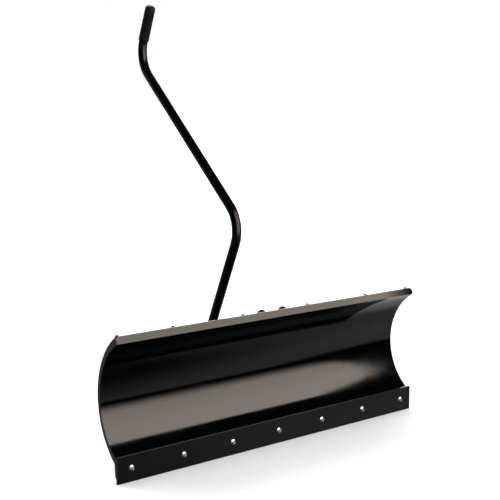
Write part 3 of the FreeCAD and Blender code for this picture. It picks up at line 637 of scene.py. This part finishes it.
YAW, PITCH, ROLL = 0.66416, 0.15185, 0.0022
EYE = Vector((-2.0816, -2.5171, 1.1130))
LENS = 77.61
ahead = Vector((math.sin(YAW) * math.cos(PITCH), math.cos(YAW) * math.cos(PITCH),
                -math.sin(PITCH)))
level = Vector((math.cos(YAW), -math.sin(YAW), 0))
down = ahead.cross(level)
right = level * math.cos(ROLL) + down * math.sin(ROLL)
up = level * math.sin(ROLL) - down * math.cos(ROLL)
camera = bpy.data.objects.new("camera", bpy.data.cameras.new("camera"))
scene.collection.objects.link(camera)
camera.matrix_world = Matrix((
    (right.x, up.x, -ahead.x, EYE.x), (right.y, up.y, -ahead.y, EYE.y),
    (right.z, up.z, -ahead.z, EYE.z), (0, 0, 0, 1)))
camera.data.sensor_width = 36
camera.data.lens = LENS
camera.data.clip_end = 200
scene.camera = camera


# ---------------------------------------------------------------- floor, backdrop and light

floor_paint, tree, shader = new_tree("pale_floor")
floor_grain = noise(tree, 3, 3)
tree.links.new(colour_between(tree, floor_grain, (0.90, 0.90, 0.90), (0.92, 0.92, 0.92)),
               shader.inputs["Base Color"])
shader.inputs["Roughness"].default_value = 0.9
shader.inputs["Specular IOR Level"].default_value = 0.0
floor = mesh_object(
    "floor", lambda m: bmesh.ops.create_grid(m, x_segments=2, y_segments=2, size=60), floor_paint)
floor.location.z = -0.0005
floor.visible_glossy = False

glow = bpy.data.materials.new("backdrop")
glow.use_nodes = True
glow.node_tree.nodes.clear()
emission = glow.node_tree.nodes.new("ShaderNodeEmission")
emission.inputs["Strength"].default_value = 1.0
output = glow.node_tree.nodes.new("ShaderNodeOutputMaterial")
glow.node_tree.links.new(emission.outputs[0], output.inputs["Surface"])
backdrop = mesh_object(
    "backdrop",
    lambda m: bmesh.ops.create_uvsphere(m, u_segments=48, v_segments=24, radius=50), glow)
for flag in ("visible_diffuse", "visible_glossy", "visible_transmission", "visible_shadow",
             "visible_volume_scatter"):
    setattr(backdrop, flag, False)

world = bpy.data.worlds.new("studio")
scene.world = world
world.use_nodes = True
tree = world.node_tree


def math_node(operation, *values):
    """A math node in the tree that its linked values come from."""
    tree = next(value for value in values if not isinstance(value, (int, float))).id_data
    node = tree.nodes.new("ShaderNodeMath")
    node.operation = operation
    for socket, value in zip(node.inputs, values):
        if isinstance(value, (int, float)):
            socket.default_value = value
        else:
            tree.links.new(value, socket)
    return node.outputs[0]


def ramp(value, low, high):
    """Rises smoothly from 0 at low to 1 at high."""
    tree = value.id_data
    node = tree.nodes.new("ShaderNodeMapRange")
    node.interpolation_type = "SMOOTHSTEP"
    node.inputs["From Min"].default_value = low
    node.inputs["From Max"].default_value = high
    tree.links.new(value, node.inputs["Value"])
    return node.outputs[0]


def window(value, low, high, soft):
    return math_node("MULTIPLY", ramp(value, low, low + soft),
                     math_node("SUBTRACT", 1.0, ramp(value, high - soft, high)))


direction = tree.nodes.new("ShaderNodeTexCoord").outputs["Generated"]
split = tree.nodes.new("ShaderNodeSeparateXYZ")
tree.links.new(direction, split.inputs[0])
elevation = math_node("MULTIPLY", math_node("ARCSINE", split.outputs["Z"]), 180 / math.pi)
azimuth = math_node("MULTIPLY", math_node(
    "ARCTAN2", split.outputs["X"], math_node("MULTIPLY", split.outputs["Y"], -1.0)), 180 / math.pi)

# A dim room below the horizon that brightens to the right, and a softbox behind the machine.
shade = math_node("ADD", 0.03, math_node("MULTIPLY", ramp(elevation, -46, -12), 0.10))
glow_right = math_node("SUBTRACT", 0.48, math_node("MULTIPLY", ramp(elevation, -46, -12), 0.10))
turned = math_node("ADD", azimuth, math_node("MULTIPLY", math_node("ADD", elevation, 16.0), 0.83))
blend = ramp(turned, 21, 42)
room = math_node("ADD", math_node("MULTIPLY", shade, math_node("SUBTRACT", 1.0, blend)),
                 math_node("MULTIPLY", glow_right, blend))
horizon = math_node("ADD", elevation, math_node("MULTIPLY", ramp(azimuth, 37, 45), 5.0))
room = math_node("MULTIPLY", room, window(horizon, -51, -7, 2.5))
room = math_node("MULTIPLY", room, math_node(
    "ADD", 0.36, math_node("MULTIPLY", ramp(elevation, -52, -24), 0.64)))
side = math_node("MULTIPLY", window(azimuth, 84, 175, 14), window(elevation, -70, -15, 20))
rear = math_node("ADD", ramp(azimuth, 112, 134), math_node("SUBTRACT", 1.0, ramp(azimuth, -158, -126)))
behind = math_node("ADD", math_node("MULTIPLY", window(elevation, 3, 66, 8), 3.0),
                   math_node("MULTIPLY", window(elevation, -62, 4, 8), 0.22))
behind = math_node("MULTIPLY", behind, rear)
light = math_node("ADD", room, math_node("MULTIPLY", side, 0.28))
light = math_node("ADD", light, behind)
light = math_node("ADD", light, math_node("MULTIPLY", ramp(elevation, 40, 90), 0.03))
light = math_node("ADD", light, 0.010)
background = tree.nodes["Background"]
tree.links.new(light, background.inputs["Strength"])
background.inputs["Color"].default_value = (1.0, 0.985, 0.965, 1)


def reflected_light(name, y, left, right, low, high, pattern):
    """An upright panel of light at y that is seen only in reflections, and clear where its pattern is 0."""
    material = bpy.data.materials.new(name)
    material.use_nodes = True
    tree = material.node_tree
    tree.nodes.clear()
    split = tree.nodes.new("ShaderNodeSeparateXYZ")
    tree.links.new(tree.nodes.new("ShaderNodeTexCoord").outputs["Object"], split.inputs[0])
    emission = tree.nodes.new("ShaderNodeEmission")
    emission.inputs["Color"].default_value = (1.0, 0.885, 0.790, 1)
    emission.inputs["Strength"].default_value = 4.65
    clear = tree.nodes.new("ShaderNodeBsdfTransparent")
    mix = tree.nodes.new("ShaderNodeMixShader")
    tree.links.new(pattern(split.outputs["X"], split.outputs["Z"]), mix.inputs[0])
    tree.links.new(clear.outputs[0], mix.inputs[1])
    tree.links.new(emission.outputs[0], mix.inputs[2])
    output = tree.nodes.new("ShaderNodeOutputMaterial")
    tree.links.new(mix.outputs[0], output.inputs["Surface"])

    def face(shape):
        shape.faces.new([shape.verts.new(corner) for corner in (
            (left, 0, low), (left, 0, high), (right, 0, high), (right, 0, low))])

    panel = mesh_object(name, face, material)
    panel.location.y = y
    for flag in ("visible_camera", "visible_diffuse", "visible_shadow"):
        setattr(panel, flag, False)


def softbox_pattern(across, height):
    """Soft at the bottom, the top and the left, and cut off at two slants on the right."""
    slant = math_node("SUBTRACT", across, math_node("MULTIPLY", height, 0.6))
    level = math_node("MULTIPLY", ramp(height, 0.06, 0.50),
                      math_node("SUBTRACT", 1.0, ramp(height, 2.58, 2.92)))
    level = math_node("MULTIPLY", level, math_node("SUBTRACT", 1.0, ramp(slant, 1.42, 1.58)))
    slant = math_node("SUBTRACT", across, math_node("MULTIPLY", height, 0.3))
    level = math_node("MULTIPLY", level, math_node("SUBTRACT", 1.0, ramp(slant, 1.82, 2.06)))
    level = math_node("MULTIPLY", level, ramp(across, -1.0, -0.6))
    return math_node("MULTIPLY", level, math_node(
        "ADD", 0.84, math_node("MULTIPLY", ramp(height, 0.4, 1.3), 0.16)))


def strip_pattern(across, height):
    """Soft at both ends, more so at the right."""
    level = math_node("MULTIPLY", ramp(across, 0.78, 0.96), window(height, 0.470, 0.545, 0.012))
    return math_node("MULTIPLY", level, math_node("SUBTRACT", 1.0, ramp(across, 1.0, 1.2)))


# A large softbox in front, and a short strip nearer the blade that keeps the flange's right end bright.
reflected_light("softbox_panel", -1.5, -1.0, 3.4, 0.05, 3.2, softbox_pattern)
reflected_light("strip_panel", -0.6, 0.78, 1.22, 0.465, 0.550, strip_pattern)

# Two broad overhead lights. The one behind throws the soft shadow in front of the blade.
for name, energy, lean in (("overhead_rear", 1.55, -30), ("overhead_front", 2.5, 24)):
    sun = bpy.data.objects.new(name, bpy.data.lights.new(name, "SUN"))
    sun.data.energy = energy
    sun.data.angle = math.radians(70)
    sun.rotation_euler = (math.radians(lean), math.radians(4), 0)
    sun.visible_glossy = False
    scene.collection.objects.link(sun)


# ---------------------------------------------------------------- final update

bpy.context.view_layer.update()
